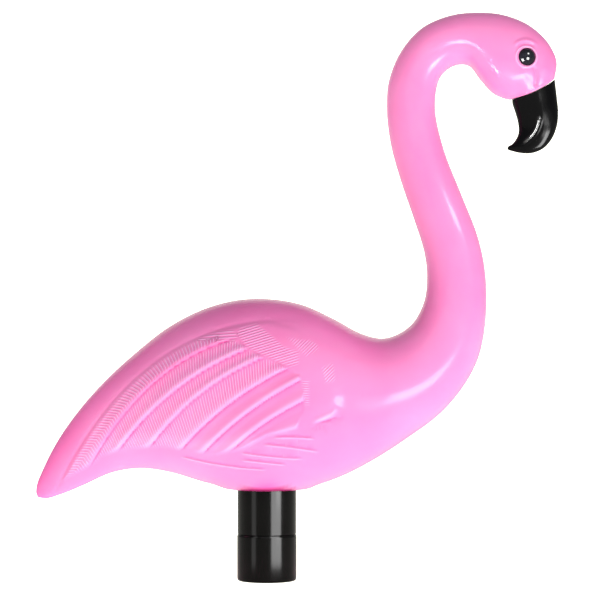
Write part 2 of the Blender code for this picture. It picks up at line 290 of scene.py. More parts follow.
def inside(points, outline):
    """Distance to a closed outline, positive inside: an odd number of crossings."""
    x, z = points.T
    hits = np.zeros(len(points), bool)
    for (x1, z1), (x2, z2) in zip(outline, outline[1:] + outline[:1]):
        if z1 != z2:
            crosses = (z1 > z) != (z2 > z)
            hits ^= crosses & (x < x1 + (z - z1) * (x2 - x1) / (z2 - z1))
    return np.abs(nearest(points, outline, closed=True)[0]) * np.where(hits, 1, -1)


def fading(run, fade):
    """0 at both ends of a line and 1 from fade inwards."""
    ends = run.max(axis=-1, keepdims=True)
    return smooth(run, 0, fade) * (1 - smooth(run, ends - fade, ends))


def line_distance(points):
    """Signed distance to the nearest belly line, positive above it, and its strength.

    The strength falls to 0 towards both ends of the line.
    """
    apart, run = np.array([nearest(points, stroke(line))
                           for line in BELLY_LINES]).transpose(1, 0, 2)
    strength = fading(run, LINE_FADE)
    pick = np.abs(apart).argmin(axis=0), np.arange(len(points))
    return apart[pick], strength[pick]


wing_outline = WING_FRONT + WING_TIPS + bezier(WING_TOP)[-2:0:-1].tolist()
print(len(wing_outline), "points round the wing")

# %% [markdown]
# Fine barbs cross the upper feathers. A barb is one turn of a wave whose phase
# grows along the feather and also changes with the distance from its edge, which
# slants the strokes. On the first feather they meet in a herringbone along its
# shaft. The phase is kept on the mesh as well, and the material sharpens the
# same strokes between the mesh's points and paints their crests paler, a painted
# highlight.

# %% Height of the wing
WING_LIFT = 0.34  # percent of the length that the wing stands off the flank
WING_RIM = (-0.2, 0.9)  # distances inside the outline between which it rises
FRONT = (4, 9)  # x between which the wing's front begins
FRONT_SOFTNESS, FRONT_LOSS = 2.8, 0.45  # how much wider, and lower, the rise is there
COVERT_SOFTNESS, FEATHERS_IN = 0.35, 1.2  # how the long feathers fade at their ends
TOP_GROOVE, TOP_GROOVE_HALF_WIDTH = 0.22, 0.40
# A feather's rise: its height, the shares of its breadth between which it rises,
# its mean, and the distances in from its lower edge over which it drops
LIP, LIP_RISE, LIP_MEAN, LIP_DROP = 0.40, (0.30, 0.80), 0.35, (-0.05, 0.30)
RIDGE, RIDGE_IN, RIDGE_HALF_WIDTH = 0.20, 0.60, 0.50  # the rounded lip itself
EDGE_GROOVE, EDGE_GROOVE_HALF_WIDTH = 0.16, 0.22  # the sharp line under a lip
# Painted shade, a deeper pink: along that line, and fading over a share of the next feather
EDGE_LINE_HALF_WIDTH, TROUGH_SHADE, TROUGH_BREADTH = 0.30, 0.3, (0.05, 0.6)
# Painted highlight on the ends of the feathers
TIP_PAINTED_HIGHLIGHT, TIP_IN, TIP_HALF_WIDTH = 0.55, 1.7, 1.3  # the paler ends of the feathers
BARBED_FEATHERS = 4
BARB_PITCHES = (0.62, 0.54, 0.54, 0.54)
BARB_HEIGHT = 0.026
BARBS_FROM_TOP, BARBS_FROM_EDGE = (0.2, 0.5), (0.1, 0.9)  # distances over which they fade in
# How much the barbs sweep: above the first feather's shaft at its root and
# tip, with the run over which it grows, below the shaft, and on the others
SHAFT_SWEEP_ROOT, SHAFT_SWEEP_TIP, SWEEP_GROWS = -0.15, 0.70, (4, 22)
UNDER_SWEEP, SWEEP = 0.40, 0.5
# Patches of short strokes at the wing's root: outline, slope of the strokes in
# degrees and their pitch
COVERT_PATCHES = [
    ([(-6.0, 30.6), (-4.9, 32.0), (-1.8, 32.9), (1.1, 30.6), (3.4, 28.6), (6.5, 27.4),
      (6.5, 24.6), (4.6, 24.0), (0.7, 25.7), (-3.6, 27.7)], 17, 0.48),
    ([(3.2, 30.3), (10.2, 29.4), (10.1, 27.3), (7.4, 25.9), (4.9, 28.4)], 44, 0.46),
    ([(10.0, 24.4), (13.0, 25.8), (13.3, 21.6), (11.0, 21.0)], 44, 0.46),
    ([(-14.5, 30.6), (-6.2, 31.6), (-4.6, 30.4), (-5.8, 28.9), (-12.6, 28.6)], 4, 0.55),
    ([(6.2, 22.2), (8.4, 22.2), (8.4, 17.0), (7.2, 17.0)], -2, 0.44),
]
PATCH_RIM, PATCH_IN = 0.8, (0.1, 0.6)  # fading in at its own rim and at the wing's


def barbs_of(n, points, lower):
    """Phase of the strokes on feather n: (run along it - sweep * distance) / pitch."""
    if n == 0:
        off, run = nearest(points, bezier(SHAFT))
        along = smooth(run - BEYOND, *SWEEP_GROWS)
        above = SHAFT_SWEEP_ROOT + (SHAFT_SWEEP_TIP - SHAFT_SWEEP_ROOT) * along
        sweep = np.where(off < 0, above, UNDER_SWEEP)
        return (run - sweep * np.abs(off)) / BARB_PITCHES[0]
    run = nearest(points, bezier(FEATHERS[n]))[1]
    return (run - SWEEP * lower) / BARB_PITCHES[n]


def wing_relief(points):
    """Height of the carving, barb phase, barb depth, painted highlight of the lips and painted
    shade of the troughs.
    """
    held = inside(points, wing_outline)
    uncovered = -nearest(points, COVERT_EDGE)[0]
    on = smooth(uncovered, -COVERT_SOFTNESS, COVERT_SOFTNESS) * smooth(held, 0.0, FEATHERS_IN)
    upper, _ = nearest(points, bezier(WING_TOP))
    front = smooth(points[:, 0], *FRONT)
    rim = smooth(held / (1 + FRONT_SOFTNESS * front), *WING_RIM)
    height = WING_LIFT * rim * (1 - FRONT_LOSS * front)
    height -= TOP_GROOVE * bell(upper, TOP_GROOVE_HALF_WIDTH) * (1 - front)
    phase, depth, lip_highlights, trough_painted_shade = np.zeros((4, len(points)))
    for n, feather in enumerate(FEATHERS):
        lower, _ = nearest(points, bezier(feather))
        band = (upper > 0) & (lower <= 0)
        v = upper / np.maximum(upper - lower, 1e-6)
        rise = smooth(v, *LIP_RISE) * smooth(-lower, *LIP_DROP)
        ridge = bell(-lower - RIDGE_IN, RIDGE_HALF_WIDTH) * (n > 0)
        groove = bell(upper, EDGE_GROOVE_HALF_WIDTH) * (n > 0)
        shape = LIP * (rise - LIP_MEAN) + RIDGE * ridge - EDGE_GROOVE * groove
        height += np.where(band, shape, 0) * on
        # Painted highlight along each rounded lip
        lip_highlights += np.where(band, ridge, 0) * on
        # Painted shade: a dark line under the lip of the feather above, and deeper pink over the
        # trough
        shade_under_lip = bell(upper, EDGE_LINE_HALF_WIDTH)
        shade = (n > 0) * (TROUGH_SHADE * (1 - smooth(v, *TROUGH_BREADTH)) + shade_under_lip)
        trough_painted_shade += np.where(band, shade, 0) * on
        if n < BARBED_FEATHERS:
            phase[band] = barbs_of(n, points[band], lower[band])
            depth[band] = (smooth(upper, *BARBS_FROM_TOP) * smooth(-lower, *BARBS_FROM_EDGE)
                           * on)[band]
        upper = lower
    # Painted highlight at the ends of the feathers
    tips = bell(np.abs(nearest(points, WING_TIPS)[0]) - TIP_IN, TIP_HALF_WIDTH)
    lip_highlights += TIP_PAINTED_HIGHLIGHT * tips * on
    for outline, slope, pitch in COVERT_PATCHES:
        patch = smooth(inside(points, outline), 0, PATCH_RIM) * smooth(held, *PATCH_IN)
        a = radians(slope)
        strokes = (points[:, 1] * cos(a) - points[:, 0] * sin(a)) / pitch
        phase = np.where(patch > depth, strokes, phase)
        depth = np.maximum(depth, patch)
    height += BARB_HEIGHT * depth * np.cos(2 * pi * phase)
    return height, phase, depth, lip_highlights, trough_painted_shade


print(BARBED_FEATHERS, "feathers with barbs,", len(COVERT_PATCHES), "patches of short strokes")

# %% [markdown]
# The front of the wing is a smooth shoulder that bulges a little. At its lower
# corner a small raised wedge lies between two short grooves, and below the wing
# a few thin raised lines run along the belly. Each is a soft bell across a drawn
# curve, faded out at the curve's ends, so that it melts into the skin as a
# moulded mark does.

# %% Shoulder and belly lines
SHOULDER = (12.6, 18.0)
SHOULDER_REACH = 3.4
SHOULDER_HEIGHT, SHOULDER_RIM = 0.24, (-0.6, 2.8)
GROOVES = [((14.8, 15.1), (11.2, 14.5), (8.4, 13.5)), ((12.2, 13.2), (10.2, 13.3), (8.0, 12.8))]
GROOVE_DEPTH, GROOVE_HALF_WIDTH = 0.42, 0.26
WEDGE, WEDGE_HEIGHT, WEDGE_HALF_WIDTH = ((13.6, 16.6), (12.0, 15.1), (8.3, 13.9)), 0.40, 0.50
WEDGE_FADE = 2.4
LINE_HEIGHT, LINE_HALF_WIDTH = 0.19, 0.21
LINE_GROOVE, LINE_GROOVE_UP = 0.10, 0.42  # the shallow groove over each belly line


def shoulder_relief(points):
    """A bulge exp(-(distance / reach)^2) in the wing's outline, then wedge, grooves, lines.

    Returns the height, the distance to the lines and their strength, and where the
    wedge and the grooves are, for the wedge's painted highlight and the grooves' painted shade.
    """
    held = inside(points, wing_outline)
    out = ((points - SHOULDER) ** 2).sum(axis=1) / SHOULDER_REACH ** 2
    height = SHOULDER_HEIGHT * np.exp(-out) * smooth(held, *SHOULDER_RIM)
    apart, run = nearest(points, stroke(WEDGE))
    wedge = bell(apart, WEDGE_HALF_WIDTH) * fading(run, WEDGE_FADE)
    height += WEDGE_HEIGHT * wedge
    grooves = np.zeros(len(points))
    for curve in GROOVES:
        apart, run = nearest(points, stroke(curve))
        groove = bell(apart, GROOVE_HALF_WIDTH) * fading(run, WEDGE_FADE)
        height -= GROOVE_DEPTH * groove
        grooves += groove
    lines, strength = line_distance(points)
    height += strength * LINE_HEIGHT * bell(lines, LINE_HALF_WIDTH)
    over_line = strength * bell(lines - LINE_GROOVE_UP, LINE_HALF_WIDTH)
    height -= LINE_GROOVE * over_line
    return height, lines, strength, wedge, np.maximum(grooves, over_line)


print("a wedge,", len(GROOVES), "grooves and", len(BELLY_LINES), "belly lines")

# %% [markdown]
# The face is modelled in the same way, as heights over the smooth head: a thin
# rim round the eye, a hollow and a brow over it, and a groove that runs from
# under the eye down to the bill between two low swellings. A rim is a bell
# across a circle, and the brow and its hollow are parts of such circles.

# %% Height of the face
eye_low, eye_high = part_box("eye_right")
EYE = [(eye_low[i] + eye_high[i]) / 2 for i in range(3)]
EYE_RADIUS = (eye_high.x - eye_low.x) / 2
EYE_SHARE = np.array([EYE[0], EYE[2] - BELLY]) / SHARE
RIM_RADIUS, RIM_HEIGHT, RIM_HALF_WIDTH = 5.5 * MM, 0.60 * MM, 0.50 * MM
BROW_RADIUS, BROW_HEIGHT, BROW_HALF_WIDTH = 8.7 * MM, 0.70 * MM, 1.1 * MM
BROW_STARTS, BROW_ENDS = (35, 70), (120, 150)  # degrees round the eye from the bill's side
HOLLOW_RADIUS, HOLLOW_DEPTH, HOLLOW_HALF_WIDTH = 6.9 * MM, 0.50 * MM, 0.8 * MM
CHEEK_GROOVE = ((50.9, 80.9), (51.6, 79.6), (51.2, 78.0))
CHEEK_DEPTH, CHEEK_HALF_WIDTH = 0.75 * MM, 1.0 * MM
SWELLINGS = [((49.0, 80.0), 1.4, 0.55 * MM), ((53.0, 80.9), 0.9, 0.35 * MM)]
ROOT_RIM_HEIGHT, ROOT_RIM_AT, ROOT_RIM_HALF_WIDTH = 0.25 * MM, 0.10, 0.16


def face_relief(points):
    """Rings round the eye, weighted by the angle for the brow and its hollow."""
    off = points - EYE_SHARE
    out = np.hypot(*off.T)
    angle = np.degrees(np.arctan2(off[:, 1], off[:, 0]))
    over = smooth(angle, *BROW_STARTS) - smooth(angle, *BROW_ENDS)
    height = RIM_HEIGHT * bell(out - RIM_RADIUS, RIM_HALF_WIDTH)
    height += over * BROW_HEIGHT * bell(out - BROW_RADIUS, BROW_HALF_WIDTH)
    height -= over * HOLLOW_DEPTH * bell(out - HOLLOW_RADIUS, HOLLOW_HALF_WIDTH)
    cheek, _ = nearest(points, stroke(CHEEK_GROOVE))
    height -= CHEEK_DEPTH * bell(cheek, CHEEK_HALF_WIDTH)
    for middle, reach, rise in SWELLINGS:
        height += rise * bell(np.hypot(*(points - middle).T), reach)
    return height


print(f"eye {EYE_RADIUS * 2000:.1f} mm across, {abs(EYE[1]) * 1000:.1f} mm from the mirror plane")

# %% [markdown]
# The mesh starts as an even grid of rings, a little closer on the flanks. Each
# point carries its place on the ladder as two numbers, the row count and the
# angle, so that later steps can work out the surface again at any point.

# %% The body's mesh
TAIL_STEPS, BODY_STEPS, NECK_STEPS, HEAD_STEPS = 6, 8, 5, 7
FIRST_BODY_RUNG, FIRST_NECK_RUNG, FIRST_HEAD_RUNG = 3, 13, 27
BODY_SIDES = 80
FLANK_START, FLANK_END, FLANK_SOFTNESS = radians(36), radians(146), 0.2
FLANK_CROWDING, TURN_SAMPLES = 0.7, 721


def turns(sides, crowding=0.0):
    """Angles round a ring, mirrored, closer between the flank's two limits.

    The density is 1 + crowding inside the flank; the angles come from its
    running sum.
    """
    fine = np.linspace(0, pi, TURN_SAMPLES)
    flank = (smooth(fine, FLANK_START - FLANK_SOFTNESS, FLANK_START)
             - smooth(fine, FLANK_END, FLANK_END + FLANK_SOFTNESS))
    total = np.concatenate([[0], np.cumsum(1 + crowding * flank[1:])])
    half = np.interp(np.linspace(0, total[-1], sides // 2 + 1), total, fine)
    return np.concatenate([half, 2 * pi - half[-2:0:-1]])


def grid_faces(rings, sides):
    """Quads between neighbouring rings, and strips across both end rings."""
    i, j = np.meshgrid(np.arange(rings - 1), np.arange(sides), indexing="ij")
    k = (j + 1) % sides
    quads = np.stack([i * sides + j, i * sides + k, (i + 1) * sides + k, (i + 1) * sides + j], 2)
    faces = quads.reshape(-1, 4).tolist()
    for ring, turned in ((0, True), (rings - 1, False)):
        for j in range(sides // 2):
            loop = [j, j + 1, (sides - j - 1) % sides, (sides - j) % sides]
            loop = [ring * sides + n for n in dict.fromkeys(loop)]
            faces.append(loop[::-1] if turned else loop)
    return faces


def keep(mesh, name, values):
    """Stores one number per point under a name, for materials and later steps."""
    layer = mesh.attributes.get(name) or mesh.attributes.new(name, "FLOAT", "POINT")
    layer.data.foreach_set("value", np.asarray(values, np.float32))


def kept(mesh, name):
    """Reads such numbers back."""
    values = np.empty(len(mesh.vertices), np.float32)
    mesh.attributes[name].data.foreach_get("value", values)
    return values.astype(float)


def new_object(name, points, faces):
    """A smooth mesh object in metres, with its normals outward."""
    mesh = bpy.data.meshes.new(name)
    mesh.from_pydata(points, [], faces)
    solid = bmesh.new()
    solid.from_mesh(mesh)
    bmesh.ops.recalc_face_normals(solid, faces=solid.faces)
    if solid.calc_volume(signed=True) < 0:
        bmesh.ops.reverse_faces(solid, faces=solid.faces)
    solid.to_mesh(mesh)
    solid.free()
    mesh.shade_smooth()
    obj = bpy.data.objects.new(name, mesh)
    bpy.context.scene.collection.objects.link(obj)
    return obj


steps = [TAIL_STEPS if rung < FIRST_BODY_RUNG else BODY_STEPS if rung < FIRST_NECK_RUNG
         else NECK_STEPS if rung < FIRST_HEAD_RUNG else HEAD_STEPS
         for rung in range(len(FIGURE) - 1)]
counts = np.concatenate([np.linspace(rung, rung + 1, n, endpoint=False)
                         for rung, n in enumerate(steps)] + [[len(FIGURE) - 1]])
count, turn = (part.ravel() for part in
               np.meshgrid(counts, turns(BODY_SIDES, FLANK_CROWDING), indexing="ij"))
body = new_object("flamingo_moulding", in_metres(on_figure(count, turn)[0]),
                  grid_faces(len(counts), BODY_SIDES))
keep(body.data, "row_count", count)
keep(body.data, "turn", turn)
print(len(counts), "rings of", BODY_SIDES, "points")

# %% [markdown]
# Where there is carving the faces are split, and the two numbers are split with
# them, so that every new point can be put exactly on the smooth surface. The
# fine barbs get a fine mesh this way and the plain neck a light one, where
# splitting the whole mesh alike would make it many times heavier.

# %% Finer mesh where carved
FLANK = (0.25, 0.55)  # shares of the half width over which carving fades in
FACE_REACH = 6.2
# How far past the carving's own outline the faces are split
WING_MARGIN, LINE_MARGIN = 0.5, 0.7
STROKE_MARGIN, FEATHER_MARGIN, GROOVE_MARGIN, FINE_LINE_MARGIN = 0.1, 0.6, 0.6, 0.5


def split_faces(mesh, wanted, parts):
    """Splits each flank face whose middle (x, z) is wanted into parts by parts faces."""
    points, rows = on_figure(kept(mesh, "row_count"), kept(mesh, "turn"))
    points[:, 1] /= rows[:, 4]
    loops = np.empty(len(mesh.loops), int)
    starts, sizes = np.empty((2, len(mesh.polygons)), int)
    mesh.loops.foreach_get("vertex_index", loops)
    mesh.polygons.foreach_get("loop_start", starts)
    mesh.polygons.foreach_get("loop_total", sizes)
    middles = np.add.reduceat(points[loops], starts) / sizes[:, None]
    chosen = wanted(middles[:, [0, 2]]) & (np.abs(middles[:, 1]) > FLANK[0])
    solid = bmesh.new()
    solid.from_mesh(mesh)
    solid.faces.ensure_lookup_table()
    edges = {edge for n in np.flatnonzero(chosen) for edge in solid.faces[n].edges}
    bmesh.ops.subdivide_edges(solid, edges=list(edges), cuts=parts - 1, use_grid_fill=True)
    solid.to_mesh(mesh)
    solid.free()


def carved(points):
    """Where there is any carving: the wings, the belly lines and the face."""
    wing = inside(points, wing_outline) > -WING_MARGIN
    lines = np.abs(line_distance(points)[0]) < LINE_MARGIN
    return wing | lines | (np.hypot(*(points - EYE_SHARE).T) < FACE_REACH)


def finely_carved(points):
    """Where the strokes, the thin lines and the rings round the eye are."""
    last_barbed = nearest(points, bezier(FEATHERS[BARBED_FEATHERS - 1]))[0]
    barbs = (inside(points, wing_outline) > -STROKE_MARGIN) & (last_barbed > -FEATHER_MARGIN)
    patches = np.max([inside(points, patch[0]) for patch in COVERT_PATCHES],
                     axis=0) > -STROKE_MARGIN
    grooves = np.min([np.abs(nearest(points, stroke(curve))[0]) for curve in GROOVES],
                     axis=0) < GROOVE_MARGIN
    eye = np.hypot(*(points - EYE_SHARE).T) < BROW_RADIUS + BROW_HALF_WIDTH
    lines = np.abs(line_distance(points)[0]) < FINE_LINE_MARGIN
    return barbs | patches | grooves | lines | eye


split_faces(body.data, carved, 3)
split_faces(body.data, finely_carved, 2)
body.data.shade_smooth()
print(len(body.data.vertices), "points,",
      sum(len(face.vertices) - 2 for face in body.data.polygons), "triangles")

# %% [markdown]
# Now the heights are added to the flanks. The relief pushes sideways only,
# because a mould for such a figure opens sideways, and it fades out towards the
# ridge of the back and the keel of the belly. Pushing sideways makes the bird a
# little wider than its solid, so the width is then drawn in by the same amount.

# %% Carving
SIDE_FIT, SIDE_FIT_RUNGS = 0.017, (12, 18)  # share of the width drawn in, as far as the neck
SKIRT_REACH, SKIRT_TOP = 10.5, 12  # how far out, and up, the skin runs down to the boss
WING_BEFORE, WING_UNDER, FACE_BEYOND, FACE_OVER = 17, 36, 40, 74  # x and z of the carved parts
NO_LINE = 9.0  # stands for the distance where there is no belly line
CLEARANCE = 0.0003
BOSS_WALL, BOSS_RISE = 0.0007, 0.0015
collar_low, collar_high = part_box("socket_collar")
COLLAR_RADIUS = (collar_high.x - collar_low.x) / 2
BOSS_RADIUS = COLLAR_RADIUS + CLEARANCE + BOSS_WALL

count, turn = kept(body.data, "row_count"), kept(body.data, "turn")
figure_points, figure_rows = on_figure(count, turn)
side_view = figure_points[:, [0, 2]]
x, y, z = figure_points.T
on_side = smooth(np.abs(y) / figure_rows[:, 4], *FLANK)
wing_part = (x < WING_BEFORE) & (z < WING_UNDER)
face_part = (x > FACE_BEYOND) & (z > FACE_OVER)
relief, barb_phase, barb_depth, lip_highlights, trough_painted_shade = np.zeros((5, len(x)))
belly_line, line_strength, wedge, grooves = np.full(len(x), NO_LINE), *np.zeros((3, len(x)))
(relief[wing_part], barb_phase[wing_part], barb_depth[wing_part],
 lip_highlights[wing_part], trough_painted_shade[wing_part]) = wing_relief(side_view[wing_part])
(extra, belly_line[wing_part], line_strength[wing_part],
 wedge[wing_part], grooves[wing_part]) = shoulder_relief(side_view[wing_part])
relief[wing_part] += extra
relief[face_part] += face_relief(side_view[face_part])
relief += ROOT_RIM_HEIGHT * bell(len(FIGURE) - 1 - count - ROOT_RIM_AT, ROOT_RIM_HALF_WIDTH)
figure_points[:, 1] += np.sign(y) * relief * on_side
figure_points[:, 1] *= 1 - SIDE_FIT * (1 - smooth(count, *SIDE_FIT_RUNGS))
# Round the collar the skin runs down to the rim of the flat boss
out = np.hypot(x, y)
over_rim = np.maximum(z - BOSS_RISE / SHARE, 0) * (z < SKIRT_TOP)
figure_points[:, 2] -= over_rim * (1 - smooth(out, BOSS_RADIUS / SHARE, SKIRT_REACH))
body_points = in_metres(figure_points)
body_points[:, 0] = np.clip(body_points[:, 0], body_low.x, body_high.x)
body.data.vertices.foreach_set("co", body_points.astype(np.float32).ravel())
body.data.update()
print(f"relief from {relief.min() / MM:.2f} to {relief.max() / MM:.2f} mm")

# %% [markdown]
# The skin isn't one flat pink: shade and highlights are painted into it. Painted
# shade makes it deeper over the black collar, which shows through it, in the
# troughs between feathers, in the grooves and along the ridge of the back.
# Painted highlights make it paler on the lips and tips of the feathers, the belly
# lines, the wedge and the rim of the eye. Painting this by hand would need an
# image; numbers kept on the mesh's points follow the carving exactly, and the
# material reads them by name.

# %% Masks for the pink
# Painted shade where the black collar shows through the skin
COLLAR_SHADE_HEIGHT, COLLAR_SHADE_RIM = 5.2, (4.6, 6.2)
COLLAR_SHADE_ACROSS = 0.6  # y counts less, so the shade reaches further across the belly
# Painted shade along the ridge of the back
RIDGE_REACH, RIDGE_RUNGS = 5, (12, 16)  # how far down from the ridge, and where it ends
# How much painted shade deepens the troughs, the grooves and the ridge of the back
TROUGH_PAINTED_SHADE, GROOVE_PAINTED_SHADE, RIDGE_PAINTED_SHADE = 0.5, 0.35, 0.5
# How much painted highlight pales the wedge and the eye's rim, and the limit of the sum
WEDGE_PAINTED_HIGHLIGHT, RING_PAINTED_HIGHLIGHT, PAINTED_HIGHLIGHT_LIMIT = 1.6, 1.4, 1.6


def painted_shade_mask():
    """Painted shade, how deep the pink is: collar shade, troughs, grooves and the ridge of the
    back.
    """
    collar = (smooth(COLLAR_SHADE_HEIGHT - z, 0, COLLAR_SHADE_HEIGHT)
              * (1 - smooth(np.hypot(x, y * COLLAR_SHADE_ACROSS), *COLLAR_SHADE_RIM)))
    # Painted shade along the ridge of the back, fading out towards the neck
    ridge = (1 - smooth(figure_rows[:, 1] - z, 0, RIDGE_REACH)) * (1 - smooth(count, *RIDGE_RUNGS))
    flank = (TROUGH_PAINTED_SHADE * trough_painted_shade + GROOVE_PAINTED_SHADE * grooves) * on_side
    return np.clip(collar + flank + RIDGE_PAINTED_SHADE * ridge, 0, 1)


keep(body.data, "barb_phase", barb_phase)
keep(body.data, "barb_depth", barb_depth * on_side)
keep(body.data, "belly_line", np.abs(belly_line) / MM)
keep(body.data, "line_strength", line_strength * on_side)
# Painted shade, kept as deep
keep(body.data, "deep", painted_shade_mask())
# Painted highlight on the raised rim round the eye
ring = bell(np.hypot(*(side_view - EYE_SHARE).T) - RIM_RADIUS, RIM_HALF_WIDTH)
# Painted highlight along the belly lines
line_highlight = line_strength * bell(belly_line, LINE_HALF_WIDTH)
# All painted highlights together, kept as pale
pale = np.clip(lip_highlights + line_highlight + WEDGE_PAINTED_HIGHLIGHT * wedge + RING_PAINTED_HIGHLIGHT * ring, 0, PAINTED_HIGHLIGHT_LIMIT)
keep(body.data, "pale", pale * on_side)
print("kept on the points:", ", ".join(sorted(
    layer.name for layer in body.data.attributes if layer.data_type == "FLOAT")))

# %% [markdown]
# The collar goes into a round pocket under the belly, and each eye sits in a
# round seat. They are cut with Booleans, because a clean round edge would need
# a far finer grid. The flat boss round the pocket is joined on first. The skin
# is dark where it meets the collar, and that shade is measured after the cuts,
# because they add points to the mesh.

# %% Pocket and eye seats
ROUND_SIDES = 96
MERGE_WITHIN, NO_EDGE = 1e-7, 1e-8  # metres within which points and edges are merged
CREASE_ANGLE = radians(62)
BOSS_OVER_COLLAR = 0.006  # so that the boss closes the moulding over the pocket
CONTACT_LOW, CONTACT_HIGH = 0.0002, 0.0030  # over the boss, where the shade fades out
CONTACT_IN, CONTACT_OUT = 0.0030, 0.001  # and inside and outside the collar's radius


def turned(name, profile, sides=ROUND_SIDES):
    """Turns (radius, height) points about Z: (r cos a, r sin a, h).

    Points at radius 0 close the ends.
    """
    profile = np.array(profile, float)
    angle = np.arange(sides) * 2 * pi / sides
    ring = np.stack([np.cos(angle), np.sin(angle)], axis=1)
    grid = np.empty((len(profile), sides, 3))
    grid[:, :, :2] = profile[:, None, :1] * ring
    grid[:, :, 2] = profile[:, 1:2]
    obj = new_object(name, grid.reshape(-1, 3), grid_faces(len(profile), sides))
    tidy = bmesh.new()
    tidy.from_mesh(obj.data)
    bmesh.ops.remove_doubles(tidy, verts=tidy.verts, dist=MERGE_WITHIN)
    bmesh.ops.dissolve_degenerate(tidy, edges=tidy.edges, dist=NO_EDGE)
    doubled = [f for f in tidy.faces if len({v.index for v in f.verts}) < 3]
    bmesh.ops.delete(tidy, geom=doubled, context="FACES")
    bmesh.ops.recalc_face_normals(tidy, faces=tidy.faces)
    tidy.to_mesh(obj.data)
    tidy.free()
    return obj


def bead(name, centre, radius, rings=48):
    """A sphere: (radius sin a, -radius cos a) turned about its axis, then laid along Y."""
    angle = np.linspace(0, pi, rings + 1)
    obj = turned(name, np.stack([radius * np.sin(angle), -radius * np.cos(angle)], axis=1))
    obj.data.transform(Matrix.Translation(centre) @ Matrix.Rotation(pi / 2, 4, "X"))
    return obj


def cut(target, cutter, operation="DIFFERENCE"):
    """Applies one Boolean and removes the cutter."""
    change = target.modifiers.new("cut", "BOOLEAN")
    change.operation, change.object, change.solver = operation, cutter, "EXACT"
    graph = bpy.context.evaluated_depsgraph_get()
    mesh = bpy.data.meshes.new_from_object(target.evaluated_get(graph))
    target.modifiers.clear()
    old, target.data = target.data, mesh
    bpy.data.meshes.remove(old)
    bpy.data.objects.remove(cutter)


boss_foot = BELLY + BOSS_RISE
boss_top = collar_high.z + BOSS_OVER_COLLAR
cut(body, turned("boss", [(0, boss_foot), (BOSS_RADIUS, boss_foot),
                          (BOSS_RADIUS, boss_top), (0, boss_top)]), "UNION")
pocket_radius, pocket_top = COLLAR_RADIUS + CLEARANCE, collar_high.z + CLEARANCE
cut(body, turned("pocket", [(0, collar_low.z), (pocket_radius, collar_low.z),
                            (pocket_radius, pocket_top), (0, pocket_top)]))
for side in (-1, 1):
    cut(body, bead("seat", (EYE[0], side * abs(EYE[1]), EYE[2]), EYE_RADIUS + CLEARANCE))
skin = np.empty(len(body.data.vertices) * 3, np.float32)
body.data.vertices.foreach_get("co", skin)
skin = skin.reshape(-1, 3)
# Painted shade: the skin is darkened where it meets the collar
contact_shade = 1 - smooth(skin[:, 2] - boss_foot, CONTACT_LOW, CONTACT_HIGH)
contact_shade *= 1 - smooth(np.abs(skin[:, 0]), COLLAR_RADIUS - CONTACT_IN, COLLAR_RADIUS + CONTACT_OUT)
keep(body.data, "contact_shade", contact_shade)
body.data.set_sharp_from_angle(angle=CREASE_ANGLE)
print(sum(len(face.vertices) - 2 for face in body.data.polygons), "triangles in the moulding")

# %% [markdown]
# The bill is a piece of its own, a small ladder of rungs in the same shares. It
# starts on the head's root line, hooks down and back, and comes to a point. The
# mouth is a fine ridge along a curve in the side view, with a groove and a lower
# ridge outside it, so that it catches the light. A mask along the crest of that
# ridge tells the material where the bill has a clearer polish.

# %% The bill
BILL = [
    (55.2, 79.3, 47.0, 75.4, 3.3),
    (55.6, 76.0, 47.1, 74.5, 2.9),
    (55.9, 73.0, 47.7, 72.7, 2.5),
    (55.7, 70.4, 48.2, 70.8, 2.1),
    (54.7, 67.8, 48.3, 69.0, 1.8),
    (53.0, 65.9, 47.8, 67.7, 1.4),
    (50.6, 65.0, 47.1, 66.8, 1.1),
    (48.4, 65.1, 46.4, 66.4, 0.6),
    (46.4, 65.6, 46.1, 66.0, 0.2),
]
BILL_SIDES, BILL_STEPS, BILL_ROUNDNESS = 192, 24, 2.0
BILL_FLANK = (0.2, 0.5)  # shares of the half width over which the mouth fades in
BILL_BOW_RUNGS = 3.5
BILL_CLEAR_RUNGS = 3.0  # over which the gap to the head fades out
MOUTH, MOUTH_FADE = ((51.9, 72.3), (51.9, 68.8), (48.8, 66.9)), 1.2
CREST_OUT, CREST_HALF_WIDTH = 0.13, 0.28  # of the polish along the mouth
SHARP_ANGLE = radians(50)
# Forms along the mouth: height, how far outside the curve, and half width
MOUTH_FORMS = ((0.24, 0.0, 0.25), (-0.12, 0.38, 0.16), (0.08, 0.66, 0.20))

bill_counts = np.linspace(0, len(BILL) - 1, BILL_STEPS * (len(BILL) - 1) + 1)
bill_count, bill_turn = (part.ravel() for part in
                         np.meshgrid(bill_counts, turns(BILL_SIDES), indexing="ij"))
bill_bow = -ROOT_BOW * (1 - smooth(bill_count, 0, BILL_BOW_RUNGS))
bill_points, bill_rows = on_ladder(BILL, bill_count, bill_turn, BILL_ROUNDNESS, bill_bow)
bill_side = smooth(np.abs(bill_points[:, 1]) / bill_rows[:, 4], *BILL_FLANK)
mouth, mouth_run = nearest(bill_points[:, [0, 2]], stroke(MOUTH))
mouth_strength = fading(mouth_run, MOUTH_FADE)
carving = sum(rise * bell(mouth - out, half_width) for rise, out, half_width in MOUTH_FORMS)
carving *= mouth_strength
bill_points[:, 1] += np.sign(bill_points[:, 1]) * carving * bill_side
rung = bill_points[0] - bill_points[BILL_SIDES // 2]
off_head = np.array([rung[2], 0, -rung[0]]) / np.linalg.norm(rung)
fade = 1 - smooth(bill_count, 0, BILL_CLEAR_RUNGS)
bill_points = in_metres(bill_points) + CLEARANCE * fade[:, None] * off_head
bill_points[:, 0] = np.minimum(bill_points[:, 0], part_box("bill")[1].x)
bill = new_object("hooked_bill", bill_points, grid_faces(len(bill_counts), BILL_SIDES))
